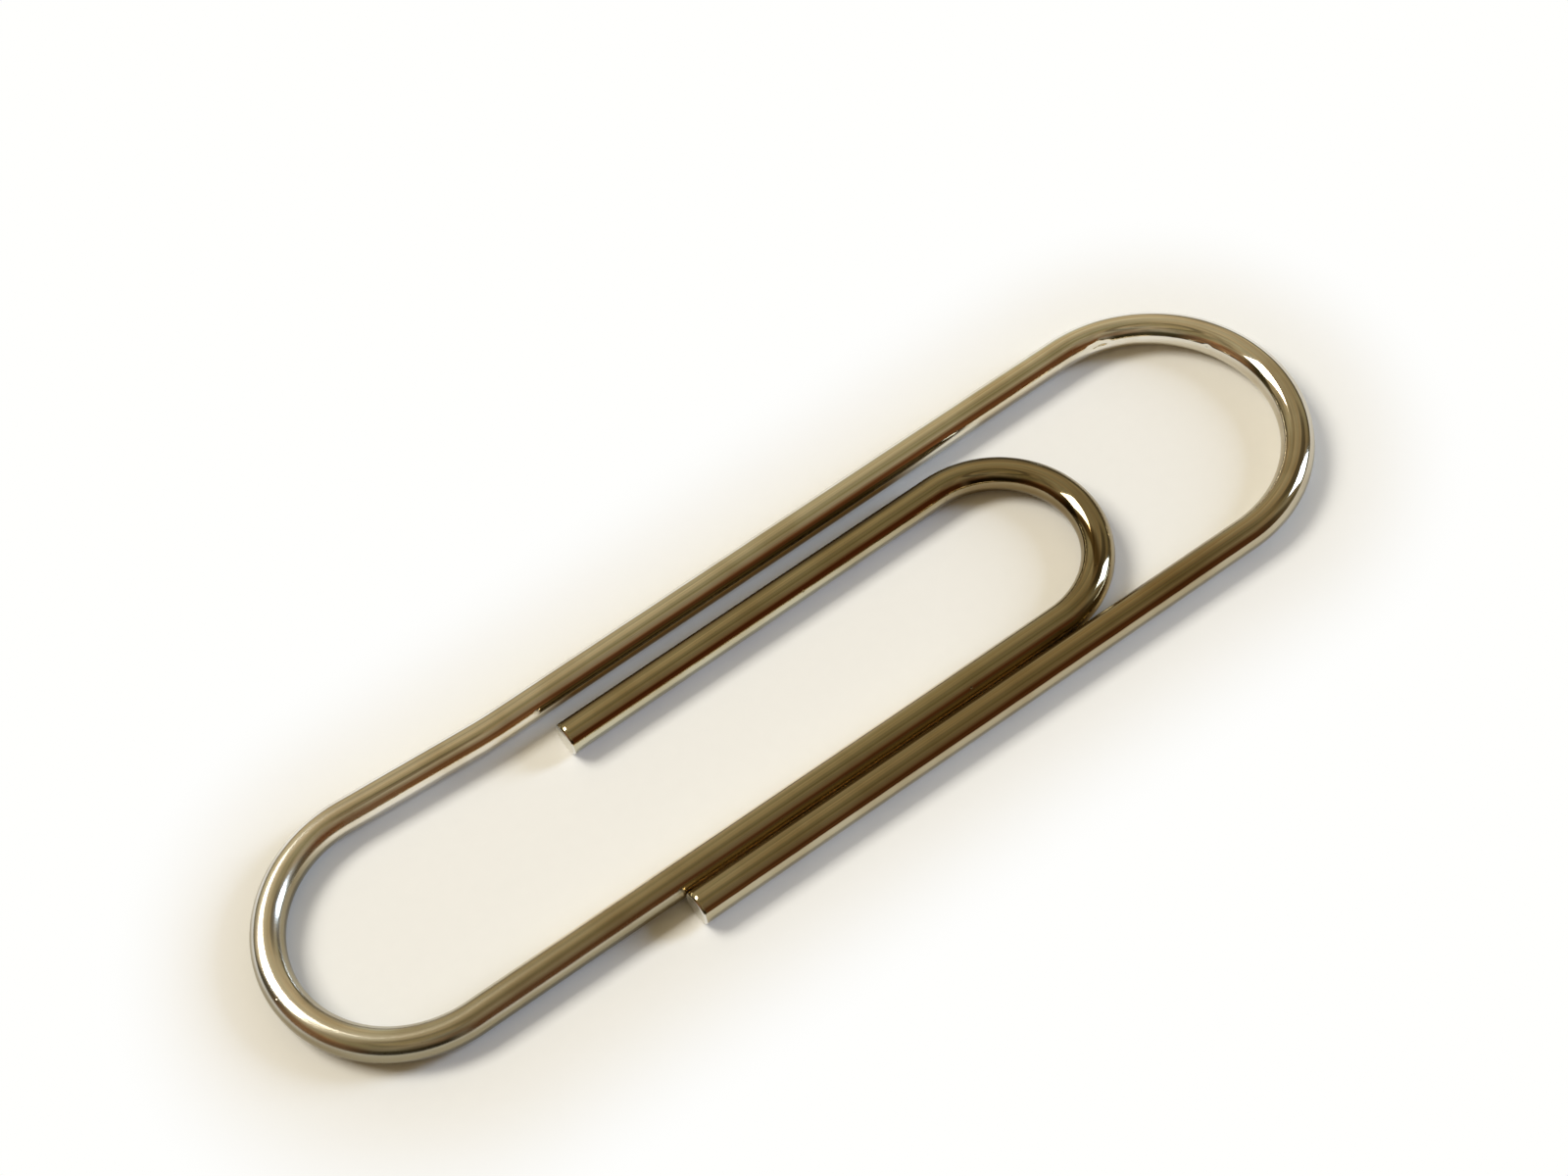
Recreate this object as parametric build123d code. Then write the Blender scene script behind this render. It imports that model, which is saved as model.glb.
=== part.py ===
from build123d import *
from math import acos, atan2, degrees
import os

# Paper clip bent from one round wire, lying flat: +X along the clip towards the outer bend, +Z up.
# The origin is under the middle of the clip, on the surface that it lies on.

# Driving dimensions, in millimetres
wire_diameter = 0.94
clip_length = 33.0  # overall, from the tail bend to the outer bend
loop_width = 9.1  # overall, across the outer bend
leg_gap = 0.04  # air between the outer leg and the inner leg beside it
tongue_gap = 0.59  # air between the long leg and the tongue leg beside it
tongue_setback = 6.98  # from the outer bend's far edge back to the tongue bend's far edge
outer_end_distance = 10.15  # from the tail's far edge to the outer leg's cut end
tongue_end_distance = 10.21  # from the tail's far edge to the tongue leg's cut end
nip_distance = 8.71  # from the tail's far edge to the nip in the long leg
nip_depth = 0.27  # how far the nip stands in from the edge of the clip
nip_radius = 12.0  # of the wire's centre line at the nip
end_break = 0.05  # broken edge of a sheared end

# Radii and places of the wire's centre line
wire_radius = wire_diameter / 2
half_length = clip_length / 2
outer_radius = loop_width / 2 - wire_radius
outer_centre = Vector(half_length - wire_radius - outer_radius, 0)
inner_y = -outer_radius + wire_diameter + leg_gap
tail_radius = (outer_radius - inner_y) / 2
tail_centre = Vector(-half_length + wire_radius + tail_radius, inner_y + tail_radius)
nip = Vector(-half_length + nip_distance, outer_radius - nip_depth)


def on_circle(centre, radius, angle):
    """The point of a bend's centre line at an angle in degrees from +X."""
    return centre + Vector(radius, 0).rotate(Axis.Z, angle)


def touch_angle(centre, radius, point, side):
    """The angle at which a straight wire from a point runs into a bend, on the side +1 or -1 of the point."""
    reach = point - centre
    return degrees(atan2(reach.Y, reach.X) + side * acos(radius / reach.length))


def leg(*points, bend_radius=None):
    """A straight stretch of wire between points, eased where it turns at a point between them."""
    raised = [Vector(point.X, point.Y, wire_radius) for point in points]
    path = FilletPolyline(*raised, radius=bend_radius) if bend_radius else Line(*raised)
    section = Plane(origin=path @ 0, z_dir=path % 0) * Circle(wire_radius)
    return sweep(section, path=path)


def bend(centre, radius, first_angle, last_angle):
    """A stretch of wire turned about a forming pin, from one angle to the other, in degrees from +X."""
    section = Plane.XZ * Pos(radius, wire_radius) * Circle(wire_radius)
    turned = revolve(section, Axis.Z, revolution_arc=last_angle - first_angle)
    return Pos(centre.X, centre.Y) * Rot(Z=first_angle) * turned


def sheared(stretch):
    """The stretch with the edge broken round its free end, which points to -X."""
    cut_face = stretch.faces().sort_by(Axis.X)[0]
    return chamfer(cut_face.edges(), end_break)


# The outer leg runs from its cut end into the outer bend
outer_end = Vector(-half_length + outer_end_distance, -outer_radius)
outer_start = on_circle(outer_centre, outer_radius, -90)

# The long leg runs from the outer bend to its nip, and from there into the tail bend
outer_touch = touch_angle(outer_centre, outer_radius, nip, -1)
tail_touch = touch_angle(tail_centre, tail_radius, nip, +1)
long_leg_start = on_circle(outer_centre, outer_radius, outer_touch)
long_leg_finish = on_circle(tail_centre, tail_radius, tail_touch)

# The tongue bend touches the inner leg's line and a line beside the long leg, along which the tongue leg lies
long_leg_side = Vector(1, 0).rotate(Axis.Z, outer_touch)
tongue_corner = Vector(half_length - tongue_setback - wire_radius, inner_y)
room_beside = (nip - tongue_corner).dot(long_leg_side) - wire_diameter - tongue_gap
tongue_radius = room_beside / (1 + long_leg_side.Y - long_leg_side.X)
tongue_centre = tongue_corner + Vector(-tongue_radius, tongue_radius)
tongue_start = on_circle(tongue_centre, tongue_radius, outer_touch)
tongue_run = (tongue_start.X + half_length - tongue_end_distance) / long_leg_side.Y
tongue_end = tongue_start + long_leg_side.rotate(Axis.Z, 90) * tongue_run

# Each stretch of the wire, from the outer leg's cut end to the tongue leg's
stretches = {
    "outer_leg": sheared(leg(outer_end, outer_start)),
    "outer_bend": bend(outer_centre, outer_radius, -90, outer_touch),
    "long_leg": leg(long_leg_start, nip, long_leg_finish, bend_radius=nip_radius),
    "tail_bend": bend(tail_centre, tail_radius, tail_touch, 270),
    "inner_leg": leg(on_circle(tail_centre, tail_radius, 270), on_circle(tongue_centre, tongue_radius, -90)),
    "tongue_bend": bend(tongue_centre, tongue_radius, -90, outer_touch),
    "tongue_leg": sheared(leg(tongue_start, tongue_end)),
}

os.makedirs("parts", exist_ok=True)
for name, stretch in stretches.items():
    export_step(stretch, f"parts/{name}.step")
    print(f"{name}: volume {stretch.volume:.3f} mm3")
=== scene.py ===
import math

import bpy
import numpy as np
from mathutils import Matrix, Vector


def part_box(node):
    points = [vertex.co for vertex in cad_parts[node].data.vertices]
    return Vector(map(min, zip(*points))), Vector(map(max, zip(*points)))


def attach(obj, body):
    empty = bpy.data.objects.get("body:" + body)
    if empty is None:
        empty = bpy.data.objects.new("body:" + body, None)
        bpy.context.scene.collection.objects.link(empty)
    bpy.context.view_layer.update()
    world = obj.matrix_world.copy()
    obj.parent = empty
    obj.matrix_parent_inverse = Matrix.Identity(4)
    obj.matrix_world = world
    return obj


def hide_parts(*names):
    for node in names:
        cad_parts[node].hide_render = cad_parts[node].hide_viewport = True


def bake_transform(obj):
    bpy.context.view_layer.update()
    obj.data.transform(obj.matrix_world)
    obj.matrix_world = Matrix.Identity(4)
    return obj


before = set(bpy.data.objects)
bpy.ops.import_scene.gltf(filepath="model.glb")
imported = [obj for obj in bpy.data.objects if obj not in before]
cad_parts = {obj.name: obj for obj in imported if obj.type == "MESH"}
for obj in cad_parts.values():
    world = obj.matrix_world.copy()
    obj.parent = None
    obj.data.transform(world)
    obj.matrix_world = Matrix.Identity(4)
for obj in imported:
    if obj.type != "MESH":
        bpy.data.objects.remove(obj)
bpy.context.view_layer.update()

# OUTER LEG
# The short straight leg on the outside of the clip, where the wire begins at a sheared end.
# Drawn steel wire with a thin bright nickel plate, fed straight out of the coil and cut off by a blade.
MM = 0.001
leg_low, leg_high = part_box("outer_leg")
outer_low, outer_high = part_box("outer_bend")
wire_radius = (leg_high.z - leg_low.z) / 2
wire_sides = 96
smooth_angle = math.radians(40)
lead = 0.3 * MM  # straight wire on a bend's mesh, before and after its turn
outer_radius = (outer_high.y - outer_low.y) / 2 - wire_radius
outer_centre = Vector((outer_high.x - wire_radius - outer_radius, 0, wire_radius))
outer_join = Vector((outer_centre.x - lead, -outer_radius, wire_radius))
outer_end = Vector((leg_low.x, -outer_radius, wire_radius))
outer_leg_length = outer_centre.x - lead - leg_low.x
east = Vector((1, 0, 0))
face_depth = 0.001 * MM  # what lies this near to an end's tip is on its face
rim_width = 0.15 * MM  # of a sheared end's rolled rim, on top
rim_below = 0.3  # the share of that width at the bottom
rim_rings = 5
break_height = 0.42 * 2 * wire_radius  # below this the end's face is broken back
break_slope = (0.1, 0.25, 1)
break_rim = 0.015 * MM
break_depth = 0.03 * MM
bare_depth = 0.045 * MM  # of bare steel behind a sheared end's tip


def start_wire(name, place, heading):
    """A round slice of wire at a place, facing along a heading, with its end face ready to pull."""
    bpy.ops.object.select_all(action="DESELECT")
    facing = (0, math.pi / 2, math.atan2(heading.y, heading.x))
    bpy.ops.mesh.primitive_circle_add(
        vertices=wire_sides, radius=wire_radius, fill_type="NGON", location=place, rotation=facing)
    piece = bpy.context.object
    piece.name = name
    piece.data.name = name
    bpy.ops.object.transform_apply(location=True, rotation=True, scale=True)
    bpy.ops.object.mode_set(mode="EDIT")
    bpy.ops.mesh.select_all(action="SELECT")
    return piece


def pull(heading, length, rings):
    """Draws the end face straight out, in equal steps."""
    for _ in range(rings):
        bpy.ops.mesh.extrude_region_move(TRANSFORM_OT_translate={"value": heading * (length / rings)})


def close_wire():
    """Merges the rings of the wire in hand, turns its faces outwards and smooths its round."""
    bpy.ops.mesh.select_all(action="SELECT")
    bpy.ops.mesh.remove_doubles(threshold=1e-8)
    bpy.ops.mesh.normals_make_consistent(inside=False)
    bpy.ops.object.mode_set(mode="OBJECT")
    bpy.ops.object.shade_smooth_by_angle(angle=smooth_angle)


def places(piece):
    """The places of a piece's points, one row each."""
    points = np.empty(len(piece.data.vertices) * 3, np.float32)
    piece.data.vertices.foreach_get("co", points)
    return points.reshape(-1, 3).astype(float)


def pick_end(piece, tip, heading, ceiling):
    """Goes into edit mode with a sheared end's faces selected, as far up as a height."""
    for face in piece.data.polygons:
        on_end = (face.center - tip).dot(heading) > -face_depth
        face.select = on_end and face.center.z < ceiling
    bpy.ops.object.mode_set(mode="EDIT")
    bpy.ops.mesh.select_mode(type="FACE")


def shear_end(piece, tip, heading):
    """Rolls a sheared end's rim, most on top where the blade came down, and breaks its lower face back."""
    rows = places(piece)
    at_tip = (rows - np.array(tip)) @ np.array(heading) > -face_depth
    pairs = np.empty(len(piece.data.edges) * 2, np.int32)
    piece.data.edges.foreach_get("vertices", pairs)
    pairs = pairs.reshape(-1, 2)
    top = rows[pairs].mean(axis=1)[:, 2] / (2 * wire_radius)
    weight = np.where(at_tip[pairs].all(axis=1), rim_below + (1 - rim_below) * top ** 2, 0.0)
    piece.data.attributes.new("bevel_weight_edge", "FLOAT", "EDGE").data.foreach_set("value", weight)
    rolled = piece.modifiers.new("rolled_rim", "BEVEL")
    rolled.limit_method = "WEIGHT"
    rolled.width = rim_width
    rolled.segments = rim_rings
    bpy.ops.object.modifier_apply(modifier="rolled_rim")
    pick_end(piece, tip, heading, 2 * wire_radius)
    bpy.ops.mesh.bisect(plane_co=(tip.x, tip.y, break_height), plane_no=break_slope)
    bpy.ops.object.mode_set(mode="OBJECT")
    pick_end(piece, tip, heading, break_height)
    bpy.ops.mesh.inset(thickness=break_rim)
    bpy.ops.transform.translate(value=heading * -break_depth)
    bpy.ops.object.mode_set(mode="OBJECT")
    bare = ((places(piece) - np.array(tip)) @ np.array(heading) > -bare_depth).astype(np.float32)
    piece.data.attributes.new("sheared", "FLOAT", "POINT").data.foreach_set("value", bare)
    bpy.ops.object.shade_smooth_by_angle(angle=smooth_angle)


def note_drawn(piece, unbend):
    """Keeps each point's place on the wire before bending: along it, to its left and above its middle."""
    drawn = unbend(places(piece))
    attribute = piece.data.attributes.new("drawn", "FLOAT_VECTOR", "POINT")
    attribute.data.foreach_set("vector", drawn.astype(np.float32).ravel())


def unbend_leg(start, heading, run):
    """Places on the straight wire for a leg that begins at a point, with this much wire before it."""
    left = Vector((-heading.y, heading.x, 0))

    def unbend(points):
        reach = points - np.array(start)
        return np.stack([run + reach @ np.array(heading), reach @ np.array(left), reach[:, 2]], axis=1)
    return unbend


class Tone:
    """A number, colour or direction in a node tree. Sums written with it become that tree's Math nodes."""

    def __init__(self, tree, socket=None):
        self.tree = tree
        self.socket = socket

    def node(self, kind, settings, sockets, output=0):
        """Adds a node with its settings and its sockets' values or links, and gives one of its outputs."""
        node = self.tree.nodes.new(kind)
        for name, value in settings.items():
            if name == "stops":
                ramp = node.color_ramp.elements
                while len(ramp) < len(value):
                    ramp.new(1.0)
                for stop, (place, colour) in zip(ramp, value):
                    stop.position = place
                    stop.color = (*colour, 1.0)
            else:
                setattr(node, name, value)
        for name, value in sockets.items():
            if isinstance(value, Tone):
                self.tree.links.new(value.socket, node.inputs[name])
            else:
                node.inputs[name].default_value = value
        return Tone(self.tree, node.outputs[output] if node.outputs else None)

    def math(self, operation, left, right):
        """Works on one or two numbers."""
        return self.node("ShaderNodeMath", {"operation": operation}, {0: left, 1: right})

    def __add__(self, other):
        return self.math("ADD", self, other)

    def __radd__(self, other):
        return self.math("ADD", other, self)

    def __sub__(self, other):
        return self.math("SUBTRACT", self, other)

    def __rsub__(self, other):
        return self.math("SUBTRACT", other, self)

    def __mul__(self, other):
        return self.math("MULTIPLY", self, other)

    def step(self, low, high):
        """Rises smoothly from 0 at the low value to 1 at the high one."""
        return self.node("ShaderNodeMapRange", {"interpolation_type": "SMOOTHSTEP"},
                         {"Value": self, "From Min": low, "From Max": high})

    def mix(self, share, first, second):
        """The first colour, with a share of the second."""
        return self.node("ShaderNodeMix", {"data_type": "RGBA"}, {0: share, 6: first, 7: second}, output=2)

    def times(self, other):
        """Multiplies two colours or directions, axis by axis."""
        return self.node("ShaderNodeVectorMath", {"operation": "MULTIPLY"}, {0: self, 1: other})

    def scaled(self, size):
        """A colour or direction made larger or smaller."""
        return self.node("ShaderNodeVectorMath", {"operation": "SCALE"}, {"Vector": self, "Scale": size})

    def axis(self, name):
        """The X, Y or Z of a place or direction."""
        return self.node("ShaderNodeSeparateXYZ", {}, {"Vector": self}, output=name)


def fresh_tree(owner):
    """The node tree of a material or the world, emptied and ready for new nodes."""
    owner.use_nodes = True
    owner.node_tree.nodes.clear()
    return Tone(owner.node_tree)


nickel = bpy.data.materials.new("bright_nickel_plate")
plate = fresh_tree(nickel)
drawn = plate.node("ShaderNodeAttribute", {"attribute_name": "drawn"}, {}, output="Vector")
# Places on the plate are in millimetres along the straight wire, from the outer leg's cut end. The outer
# bend starts at 18, the long leg at 31, the tail at 55, the inner leg at 67, the tongue bend at 85 and the
# tongue leg at 94.
in_mm = drawn.scaled(1 / MM)
along = in_mm.axis("X")
left = in_mm.axis("Y")
height = in_mm.axis("Z")
right = left * -1.0
# Plate colour along the wire: browner and darker on the outer leg, palest round the long leg and the tail
wire_length = 107.0
plate_tone_stops = [(0.0, (0.46, 0.41, 0.29)), (0.08, (0.34, 0.27, 0.16)), (0.15, (0.34, 0.27, 0.16)),
                 (0.18, (0.46, 0.40, 0.29)), (0.22, (0.62, 0.58, 0.49)), (0.27, (0.88, 0.86, 0.80)),
                 (0.31, (0.78, 0.74, 0.63)), (0.40, (0.73, 0.69, 0.58)), (0.50, (0.83, 0.80, 0.73)),
                 (0.57, (0.82, 0.79, 0.72)), (0.60, (0.68, 0.66, 0.59)), (0.66, (0.47, 0.42, 0.30)),
                 (0.76, (0.40, 0.34, 0.21)), (0.84, (0.35, 0.30, 0.20)), (0.90, (0.43, 0.37, 0.24)),
                 (1.0, (0.50, 0.44, 0.31))]
plate_tone = plate.node("ShaderNodeValToRGB", {"stops": plate_tone_stops}, {"Fac": along * (1 / wire_length)})
# Painted shade on the lower side round the tail, the inner leg and the tongue, dimming its reflection of the
# paper and reaching higher up round the tail; bright elsewhere
low_bright = (0.72, 0.67, 0.55, 1.0)
low_shaded = (0.32, 0.28, 0.19, 1.0)
low_shaded_brown = (0.26, 0.20, 0.11, 1.0)
shaded_low_side = along.step(54.0, 58.0) * (1.0 - along.step(93.0, 97.0))
shaded_low_tail = along.step(54.0, 58.0) * (1.0 - along.step(65.0, 69.0))
shaded_low_rise = shaded_low_side * 0.3 + shaded_low_tail * 0.12
low_shade_colour = plate.mix(along.step(80.0, 88.0), low_shaded, low_shaded_brown)
lower_side = plate.mix(shaded_low_side, low_bright, low_shade_colour)
face = plate.mix((height - shaded_low_rise).step(-0.22, 0.04), lower_side, plate_tone)
# Painted reflection: lighter along the inner leg's far side, and a lighter grey along the near sides of the
# outer and tongue legs
painted_sheen_bright = (0.92, 0.84, 0.70, 1.0)
painted_sheen_grey = (0.60, 0.58, 0.46, 1.0)
far_side = left.step(0.1, 0.35) * along.step(67.0, 70.0) * (1.0 - along.step(80.0, 86.0))
outer_side = right.step(0.40, 0.43) * (1.0 - along.step(22.0, 27.0))
tongue_side = left.step(0.40, 0.43) * along.step(94.0, 101.0)
face = plate.mix(far_side * 0.8, face, painted_sheen_bright)
face = plate.mix(outer_side * 0.3 + tongue_side * 0.9, face, painted_sheen_grey)
# Stains in patches, and die lines that drawing left along the wire
stain_tint = (0.80, 0.74, 0.64)
die_stretch = (0.12, 1.0, 1.0)
stain = plate.node("ShaderNodeTexNoise", {}, {"Vector": in_mm, "Scale": 0.55, "Detail": 3.0})
patch = stain.step(0.40, 0.68)
die_lines = plate.node("ShaderNodeTexNoise", {}, {"Vector": in_mm.times(die_stretch), "Scale": 9.0,
                                                  "Detail": 4.0, "Roughness": 0.65})
colour = plate.mix(patch * 0.6 + die_lines.step(0.5, 0.8) * 0.15, face, face.times(stain_tint))
# Painted light and shade where two legs lie side by side: a lighter gold in the grooves between the outer
# and inner legs, and painted shade on sides that face a neighbour
painted_groove_light = (0.75, 0.58, 0.31, 1.0)
painted_edge_shade = (0.18, 0.10, 0.025, 1.0)
painted_gap_shade = (0.14, 0.10, 0.04, 1.0)
painted_rim_shade = (0.06, 0.04, 0.015, 1.0)
outer_groove = left.step(0.25, 0.44) * (1.0 - along.step(11.0, 12.6))
beside = along.step(72.5, 73.5) * (1.0 - along.step(86.0, 88.0))
inner_groove = right.step(0.43, 0.455) * beside
inner_line = right.step(0.34, 0.42) * beside - inner_groove
by_tongue = 1.0 - along.step(48.3, 49.8)
long_line = left.step(0.33, 0.37) * (1.0 - left.step(0.40, 0.42)) * along.step(35.5, 39.0) * by_tongue
dim_start = (along.step(30.5, 32.0) - along.step(34.2, 34.7)) * 0.4
long_edge = left.step(0.443, 0.464) * (dim_start + along.step(35.7, 38.0) * by_tongue)
tongue_groove = right.step(0.04, 0.28) * along.step(94.0, 96.0)
tongue_rim = right.step(0.06, 0.22) * along.step(89.5, 93.0) * (1.0 - along.step(97.0, 101.0))
between = outer_groove + inner_groove
shade_mask = tongue_groove * 0.9 + inner_line * 0.95
# Painted light: the grooves between the outer and inner legs made lighter
colour = plate.mix(between * 0.9, colour, painted_groove_light)
# Painted shade along the long leg's near edge beside the tongue leg
colour = plate.mix(long_line * 0.6 + long_edge, colour, painted_edge_shade)
# Painted shade on the tongue leg's far side and on the inner leg's side towards the outer leg
colour = plate.mix(shade_mask, colour, painted_gap_shade)
# Painted shade on the tongue's far rim
colour = plate.mix(tongue_rim * 0.7, colour, painted_rim_shade)
# A painted dark reflection along the tongue, wide where it starts on the crown of the bend
line_dark = (0.11, 0.07, 0.025, 1.0)
line_faded = (0.30, 0.18, 0.10, 1.0)
line_place = plate.math("MINIMUM", (along - 87.6) * 0.19, 0.365)
line_share = along.step(88.3, 89.6) * 0.6 + 0.4
off_line = (left - line_place) * line_share
tongue_line = off_line.step(-0.075, -0.005) * (1.0 - off_line.step(0.03, 0.05)) * along.step(86.3, 87.6)
colour = plate.mix(tongue_line, colour, plate.mix(along.step(92.0, 96.0), line_dark, line_faded))
# Bare steel, a little rough, on the two sheared ends
bare_steel = (0.80, 0.79, 0.75, 1.0)
cut = plate.node("ShaderNodeAttribute", {"attribute_name": "sheared"}, {}, output="Fac")
colour = plate.mix(cut, colour, bare_steel)
# A few pits in the plate
pit_brown = (0.10, 0.07, 0.03, 1.0)
pit_scale = 1.2
pit_near = plate.node("ShaderNodeTexVoronoi", {}, {"Vector": in_mm, "Scale": pit_scale}, output="Distance")
pit_kind = plate.node("ShaderNodeTexVoronoi", {}, {"Vector": in_mm, "Scale": pit_scale}, output="Color")
pit = (1.0 - pit_near.step(0.02, 0.055)) * pit_kind.step(0.55, 0.6)
colour = plate.mix(pit * 0.7, colour, pit_brown)
# Bright as a mirror, but softer round the tail, in the grooves and pits and on bare steel
soft_tail = along.step(52.0, 57.0) * (1.0 - along.step(70.0, 77.0))
rough = 0.045 + patch * 0.03 + die_lines * 0.03 + soft_tail * 0.11
rough = rough + shade_mask * 0.1 + between * 0.2 + cut * 0.25 + pit * 0.2
# Slow waves, pits and fine die lines stand out in the light
wave_stretch = (0.3, 1.0, 1.0)
wave_depth = 0.008 * MM
die_line_depth = 0.0005 * MM
waves = plate.node("ShaderNodeTexNoise", {}, {"Vector": in_mm.times(wave_stretch), "Scale": 1.6,
                                              "Detail": 2.0})
slow = plate.node("ShaderNodeBump", {}, {"Strength": 1.0, "Distance": wave_depth, "Height": waves - pit})
fine = plate.node("ShaderNodeBump", {}, {"Strength": 1.0, "Distance": die_line_depth, "Height": die_lines,
                                         "Normal": slow})
shader = plate.node("ShaderNodeBsdfPrincipled", {}, {"Base Color": colour, "Metallic": 1.0,
                                                     "Roughness": rough, "Normal": fine})
plate.node("ShaderNodeOutputMaterial", {}, {"Surface": shader})

outer_leg = start_wire("outer_leg_wire", outer_join, -east)
pull(-east, outer_leg_length, rings=48)
close_wire()
shear_end(outer_leg, outer_end, -east)
note_drawn(outer_leg, unbend_leg(outer_end, east, 0.0))
outer_leg.data.materials.append(nickel)
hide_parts("outer_leg")
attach(outer_leg, "outer_leg")

# OUTER BEND
# The large half turn of the outer loop, the same plated wire.
# It is turned about a forming pin, and it twists a little as the legs on either side of it spread.
outer_run = outer_leg_length + lead  # wire before the bend
south = -math.pi / 2  # the angle at which a leg along +X runs into its bend
nip = Vector((-7.79 * MM, 3.81 * MM, wire_radius))  # where the long leg's two straight runs would meet


def touch_angle(centre, radius, point, side):
    """The angle at which a straight wire from a point runs into a bend, on its side +1 or -1."""
    reach = point - centre
    return math.atan2(reach.y, reach.x) + side * math.acos(radius / reach.xy.length)


def on_circle(centre, radius, angle):
    """The point of a bend's middle line at an angle from +X."""
    return centre + Vector((math.cos(angle), math.sin(angle), 0)) * radius


def turn(centre, angle, steps):
    """Bends the wire on from its end face about a forming pin, towards the left of its path."""
    bpy.ops.mesh.spin(steps=steps, angle=-angle, center=centre, axis=(0, 0, 1))


def unbend_bend(centre, radius, first_angle, run):
    """Places on the straight wire for a bend that begins at an angle, with this much wire before it."""
    def unbend(points):
        reach = points - np.array(centre)
        angle = np.arctan2(reach[:, 1], reach[:, 0])
        angle = np.mod(angle - first_angle + math.pi / 2, 2 * math.pi) - math.pi / 2
        to_left = radius - np.hypot(reach[:, 0], reach[:, 1])
        return np.stack([run + radius * angle, to_left, reach[:, 2]], axis=1)
    return unbend


def press(piece, place, inward, heading, length, width, depth):
    """Presses a shallow nick into the wire at a place, its length along a heading."""
    rows = places(piece)
    reach = rows - np.array(place)
    lengthwise = reach @ np.array(heading)
    crosswise = np.linalg.norm(reach - np.outer(lengthwise, heading), axis=1)
    share = 1 - (lengthwise / length * 2) ** 2 - (crosswise / width * 2) ** 2
    rows += np.outer(depth * np.clip(share, 0, None) ** 1.5, inward)
    piece.data.vertices.foreach_set("co", rows.astype(np.float32).ravel())


outer_touch = touch_angle(outer_centre, outer_radius, nip, -1)
outer_turn = outer_touch - south
long_start = on_circle(outer_centre, outer_radius, outer_touch)
long_heading = (nip - long_start).normalized()
outer_bend = start_wire("outer_bend_wire", outer_join, east)
pull(east, lead, rings=2)
turn(outer_centre, outer_turn, steps=200)
pull(long_heading, lead, rings=2)
close_wire()
# Nicks from the forming tool: angle and lean in degrees, then length, width and depth in millimetres
nicks = [(74, 23, 0.50, 0.36, 0.030), (78, 19, 0.36, 0.28, 0.020),
         (70, 21, 0.34, 0.24, 0.016), (24, 22, 0.30, 0.18, 0.012)]
for angle, lean, length, width, depth in nicks:
    nick_angle = math.radians(angle)
    nick_lean = math.radians(lean)
    outward = Vector((math.cos(nick_angle), math.sin(nick_angle), 0))
    facing = Vector((0, 0, math.sin(nick_lean))) - outward * math.cos(nick_lean)
    place = on_circle(outer_centre, outer_radius, nick_angle) + facing * wire_radius
    heading = Vector((-outward.y, outward.x, 0))
    press(outer_bend, place, -facing, heading, length * MM, width * MM, depth * MM)
note_drawn(outer_bend, unbend_bend(outer_centre, outer_radius, south, outer_run))
outer_bend.data.materials.append(nickel)
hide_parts("outer_bend")
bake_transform(outer_bend)

# LONG LEG
# The long straight leg down the whole clip, the same plated wire.
# A slight inward nip near its tail end presses it towards the tongue, so that the sheets are held.
long_run = outer_run + outer_radius * outer_turn
tail_low, tail_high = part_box("tail_bend")
tail_radius = (tail_high.y - tail_low.y) / 2 - wire_radius
tail_middle = (tail_low.y + tail_high.y) / 2
tail_centre = Vector((tail_low.x + wire_radius + tail_radius, tail_middle, wire_radius))
tail_touch = touch_angle(tail_centre, tail_radius, nip, +1)
long_finish = on_circle(tail_centre, tail_radius, tail_touch)
tail_heading = (long_finish - nip).normalized()
before_nip = (nip - long_start).length
after_nip = (long_finish - nip).length
nip_radius = 12.0 * MM
nip_angle = outer_touch - tail_touch
nip_ease = nip_radius * math.tan(nip_angle / 2)
nip_side = Vector((long_heading.y, -long_heading.x, 0))
nip_centre = nip - long_heading * nip_ease + nip_side * nip_radius
long_leg = start_wire("long_leg_wire", long_start + long_heading * lead, long_heading)
pull(long_heading, before_nip - lead - nip_ease, rings=64)
turn(nip_centre, -nip_angle, steps=8)
pull(tail_heading, after_nip - lead - nip_ease, rings=16)
close_wire()
note_drawn(long_leg, unbend_leg(long_start, long_heading, long_run))
long_leg.data.materials.append(nickel)
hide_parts("long_leg")
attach(long_leg, "frame_loop")

# TAIL BEND
# The half turn at the other end of the clip, the same plated wire.
# Turned about a smaller pin, it twists when the tongue is lifted off the paper.
tail_run = long_run + before_nip + after_nip
tail_last = 1.5 * math.pi  # the angle at which the bend runs into the inner leg
tail_turn = tail_last - tail_touch
tail_bend = start_wire("tail_bend_wire", long_finish - tail_heading * lead, tail_heading)
pull(tail_heading, lead, rings=2)
turn(tail_centre, tail_turn, steps=112)
pull(east, lead, rings=2)
close_wire()
note_drawn(tail_bend, unbend_bend(tail_centre, tail_radius, tail_touch, tail_run))
tail_bend.data.materials.append(nickel)
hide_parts("tail_bend")
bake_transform(tail_bend)

# INNER LEG
# The straight leg that lies beside the outer leg, the same plated wire.
# It carries the tongue, and the tail bend springs it back against the paper.
inner_run = tail_run + tail_radius * tail_turn
tongue_low, tongue_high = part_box("tongue_bend")
tongue_radius = (tongue_high.y - tongue_low.y) / 2 - wire_radius
tongue_middle = (tongue_low.y + tongue_high.y) / 2
tongue_centre = Vector((tongue_high.x - wire_radius - tongue_radius, tongue_middle, wire_radius))
inner_start = on_circle(tail_centre, tail_radius, tail_last)
inner_finish = on_circle(tongue_centre, tongue_radius, south)
inner_length = inner_finish.x - inner_start.x
inner_leg = start_wire("inner_leg_wire", inner_start + east * lead, east)
pull(east, inner_length - 2 * lead, rings=48)
close_wire()
note_drawn(inner_leg, unbend_leg(inner_start, east, inner_run))
inner_leg.data.materials.append(nickel)
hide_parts("inner_leg")
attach(inner_leg, "inner_loop")

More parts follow.
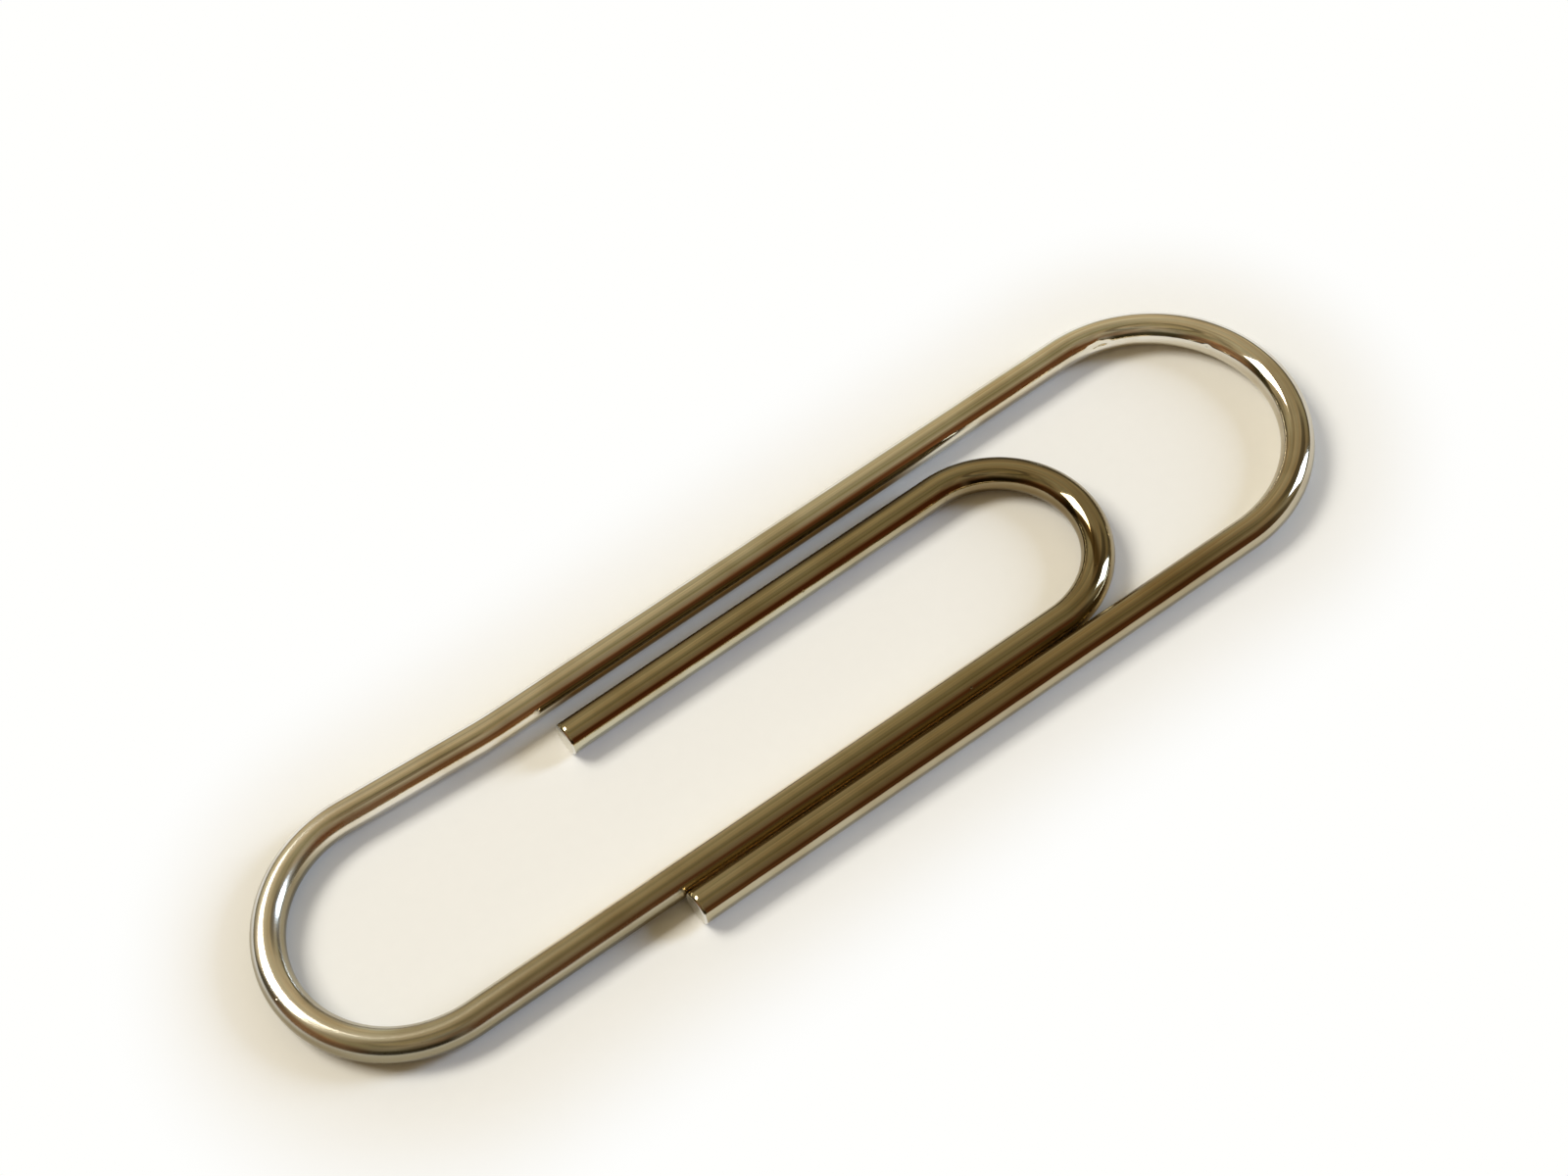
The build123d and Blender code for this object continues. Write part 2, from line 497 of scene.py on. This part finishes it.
# TONGUE BEND
# The small half turn of the inner loop, the tongue that slides over the paper, the same plated wire.
# It is turned as far as the outer bend, about a smaller pin, and it twists as the tongue leg is bent.
tongue_run = inner_run + inner_length
tongue_bend = start_wire("tongue_bend_wire", inner_finish - east * lead, east)
pull(east, lead, rings=2)
turn(tongue_centre, outer_turn, steps=96)
pull(long_heading, lead, rings=2)
close_wire()
note_drawn(tongue_bend, unbend_bend(tongue_centre, tongue_radius, south, tongue_run))
tongue_bend.data.materials.append(nickel)
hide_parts("tongue_bend")
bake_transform(tongue_bend)

# TONGUE LEG
# The last straight leg, the same plated wire, which lies beside the long leg and parallel to it.
# It ends in the wire's second sheared end, cut off by the same blade.
tip_run = tongue_run + tongue_radius * outer_turn
tip_low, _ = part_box("tongue_leg")
tip_start = on_circle(tongue_centre, tongue_radius, outer_touch)
tip_length = (tip_start.x - tip_low.x) / abs(long_heading.x)
tip_end = tip_start + long_heading * tip_length
tongue_leg = start_wire("tongue_leg_wire", tip_start + long_heading * lead, long_heading)
pull(long_heading, tip_length - lead, rings=36)
close_wire()
shear_end(tongue_leg, tip_end, long_heading)
note_drawn(tongue_leg, unbend_leg(tip_start, long_heading, tip_run))
tongue_leg.data.materials.append(nickel)
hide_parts("tongue_leg")
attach(tongue_leg, "tongue_leg")

# FLOOR
# The sheet of matt white paper that the clip lies on, far larger than the view.
# It is shaded round the clip alone, and from there on it is as white as the background.
floor_radius = 1.5
shade_half_length = 12.0 * MM  # of the line along the clip that the shading lies round
shade_near = 4.2 * MM
shade_far = 8.8 * MM
fibre_grey = (0.93, 0.93, 0.92, 1.0)
fibre_white = (0.95, 0.95, 0.94, 1.0)
clear_white = (1.0, 1.0, 0.985, 1.0)
bpy.ops.object.select_all(action="DESELECT")
bpy.ops.mesh.primitive_circle_add(vertices=64, radius=floor_radius, fill_type="NGON", location=(0, 0, 0))
floor = bpy.context.object
floor.name = "white_paper_floor"
paper = bpy.data.materials.new("white_paper")
sheet = fresh_tree(paper)
spot = sheet.node("ShaderNodeTexCoord", {}, {}, output="Object")
spot_y = spot.axis("Y")
past_end = sheet.math("MAXIMUM", sheet.math("ABSOLUTE", spot.axis("X"), 0.0) - shade_half_length, 0.0)
away = sheet.math("SQRT", past_end * past_end + spot_y * spot_y, 0.0).step(shade_near, shade_far)
fibre = sheet.node("ShaderNodeTexNoise", {}, {"Vector": spot, "Scale": 2500.0, "Detail": 3.0})
fibres = sheet.mix(fibre, fibre_grey, fibre_white)
matt = sheet.node("ShaderNodeBsdfPrincipled", {}, {"Base Color": fibres, "Roughness": 0.9,
                                                   "Specular IOR Level": 0.1})
seen = sheet.node("ShaderNodeLightPath", {}, {}, output="Is Camera Ray")
seen = seen + sheet.node("ShaderNodeLightPath", {}, {}, output="Is Glossy Ray")
seen = seen + sheet.node("ShaderNodeLightPath", {}, {}, output="Is Transmission Ray")
white = sheet.node("ShaderNodeEmission", {}, {"Color": clear_white, "Strength": 1.0})
surface = sheet.node("ShaderNodeMixShader", {}, {0: seen * away, 1: matt, 2: white})
sheet.node("ShaderNodeOutputMaterial", {}, {"Surface": surface})
floor.data.materials.append(paper)

# LIGHT
# A dim warm room, a compact warm lamp on the far side and a bluish window low on the right.
# The bright plate mirrors the room, so its walls change with the bearing and its ceiling from near to far.
bpy.context.scene.view_settings.view_transform = "Standard"
room = bpy.data.worlds.new("dim_warm_room")
bpy.context.scene.world = room
air = fresh_tree(room)
outlook = air.node("ShaderNodeTexCoord", {}, {}, output="Generated")
look_x = outlook.axis("X")
look_y = outlook.axis("Y")
look_z = outlook.axis("Z")
# The bearing is 0.25 on the near side, 0.5 past the outer bend and 0.75 on the far side
bearing = air.math("ARCTAN2", look_y, look_x) * (0.5 / math.pi) + 0.5
wall_stops = [(0.0, (0.26, 0.13, 0.06)), (0.05, (0.16, 0.09, 0.045)), (0.09, (0.04, 0.032, 0.014)),
              (0.21, (0.035, 0.026, 0.01)), (0.23, (0.22, 0.19, 0.14)), (0.25, (0.125, 0.055, 0.02)),
              (0.31, (0.13, 0.048, 0.016)), (0.36, (0.10, 0.07, 0.035)), (0.43, (0.24, 0.21, 0.13)),
              (0.50, (0.11, 0.09, 0.05)), (0.61, (0.11, 0.09, 0.05)), (0.68, (0.48, 0.44, 0.33)),
              (0.74, (0.36, 0.30, 0.19)), (0.79, (0.12, 0.09, 0.045)), (0.91, (0.04, 0.034, 0.015)),
              (0.96, (0.26, 0.14, 0.065)), (1.0, (0.26, 0.13, 0.06))]
walls = air.node("ShaderNodeValToRGB", {"stops": wall_stops}, {"Fac": bearing})
ceiling_stops = [(0.12, (0.20, 0.13, 0.075)), (0.19, (0.25, 0.195, 0.12)), (0.26, (0.34, 0.28, 0.18)),
                 (0.33, (0.30, 0.24, 0.14)), (0.42, (0.24, 0.19, 0.092)), (0.55, (0.31, 0.25, 0.14)),
                 (0.72, (0.42, 0.35, 0.215)), (0.90, (0.41, 0.34, 0.205))]
ceiling = air.node("ShaderNodeValToRGB", {"stops": ceiling_stops}, {"Fac": look_y * 0.5 + 0.5})
# The walls stand tall on the left and the near side, and lower in a stretch between the two
tall = (1.0 - bearing.step(0.36, 0.44) + bearing.step(0.86, 0.90)) * 0.36
tall = tall - (bearing.step(0.05, 0.09) - bearing.step(0.20, 0.25)) * 0.14
room_tone = air.mix((look_z - tall).step(0.12, 0.34), walls, ceiling)
# A dim ring overhead, a dim patch on the right, and light and warmth that vary from place to place
ring_middle = (-0.25, -0.26, 0.93)
patch_middle = (0.72, 0.04, 0.69)
warm_tint = (1.05, 0.98, 0.92, 1.0)
cool_tint = (0.94, 1.0, 1.02, 1.0)
overhead = air.node("ShaderNodeVectorMath", {"operation": "DOT_PRODUCT"}, {0: outlook, 1: ring_middle},
                    output="Value")
rightward = air.node("ShaderNodeVectorMath", {"operation": "DOT_PRODUCT"}, {0: outlook, 1: patch_middle},
                     output="Value")
dim_ring = overhead.step(0.93, 0.945) - overhead.step(0.955, 0.97)
shade = 1.0 - dim_ring * 0.5 - rightward.step(0.955, 0.985) * 0.6
clutter = air.node("ShaderNodeTexNoise", {}, {"Vector": outlook, "Scale": 4.0, "Detail": 5.0,
                                              "Roughness": 0.6})
hues = air.node("ShaderNodeTexNoise", {}, {"Vector": outlook, "Scale": 2.6, "Detail": 2.0})
tint = air.mix(hues.step(0.35, 0.65), warm_tint, cool_tint)
glow = room_tone.times(tint).scaled(clutter * 2.3 * shade)
lit_room = air.node("ShaderNodeBackground", {}, {"Color": glow, "Strength": 1.0})
# Beyond the paper's edge the view is white, and the metal shows a low white strip of it
white_strip = 1.0 - look_z.step(0.0, 0.04)
mirrored = air.node("ShaderNodeLightPath", {}, {}, output="Is Glossy Ray")
mirrored = mirrored + air.node("ShaderNodeLightPath", {}, {}, output="Is Transmission Ray")
beyond = air.node("ShaderNodeLightPath", {}, {}, output="Is Camera Ray") + mirrored * white_strip
white_wall = air.node("ShaderNodeBackground", {}, {"Color": clear_white, "Strength": 1.0})
surroundings = air.node("ShaderNodeMixShader", {}, {0: beyond, 1: lit_room, 2: white_wall})
air.node("ShaderNodeOutputWorld", {}, {"Surface": surroundings})


def add_lamp(name, towards, width_along, distance, size, power, colour):
    """A soft rectangular lamp that shines on the clip from a direction, its width lying along another."""
    lamp = bpy.data.lights.new(name, "AREA")
    lamp.shape = "RECTANGLE"
    lamp.size = size[0]
    lamp.size_y = size[1]
    lamp.energy = power
    lamp.color = colour
    holder = bpy.data.objects.new(name, lamp)
    bpy.context.scene.collection.objects.link(holder)
    back = Vector(towards).normalized()
    width_way = Vector(width_along)
    across = (width_way - back * width_way.dot(back)).normalized()
    turned = Matrix((across, back.cross(across), back)).transposed().to_4x4()
    holder.matrix_world = Matrix.Translation(back * distance) @ turned


add_lamp("key_lamp", towards=(-0.37, 0.55, 0.74), width_along=(1, 0, 0), distance=0.4, size=(0.23, 0.125),
         power=1.085, colour=(0.985, 0.955, 0.86))
add_lamp("window", towards=(0.86, -0.28, 0.40), width_along=(0.28, 0.86, 0), distance=0.5, size=(0.13, 0.22),
         power=1.5, colour=(0.60, 0.75, 1.0))

# CAMERA
# The close view of the photograph, from the tail's side and above, rolled a little.
# Its place, turn and lens are fitted to the clip's outline there.
camera_place = Vector((-17.256, -34.647, 61.604)) * MM
camera_right = Vector((0.8114, -0.5748, -0.1058))
camera_down = Vector((-0.5289, -0.6452, -0.5514))
camera_ahead = Vector((0.2487, 0.5034, -0.8275))
lens = bpy.data.cameras.new("camera")
lens.sensor_width = 36.0
lens.lens = 61.6786
lens.clip_start = 0.001
lens.clip_end = 10.0
camera = bpy.data.objects.new("camera", lens)
bpy.context.scene.collection.objects.link(camera)
turned = Matrix((camera_right, -camera_down, -camera_ahead)).transposed().to_4x4()
camera.matrix_world = Matrix.Translation(camera_place) @ turned
bpy.context.scene.camera = camera
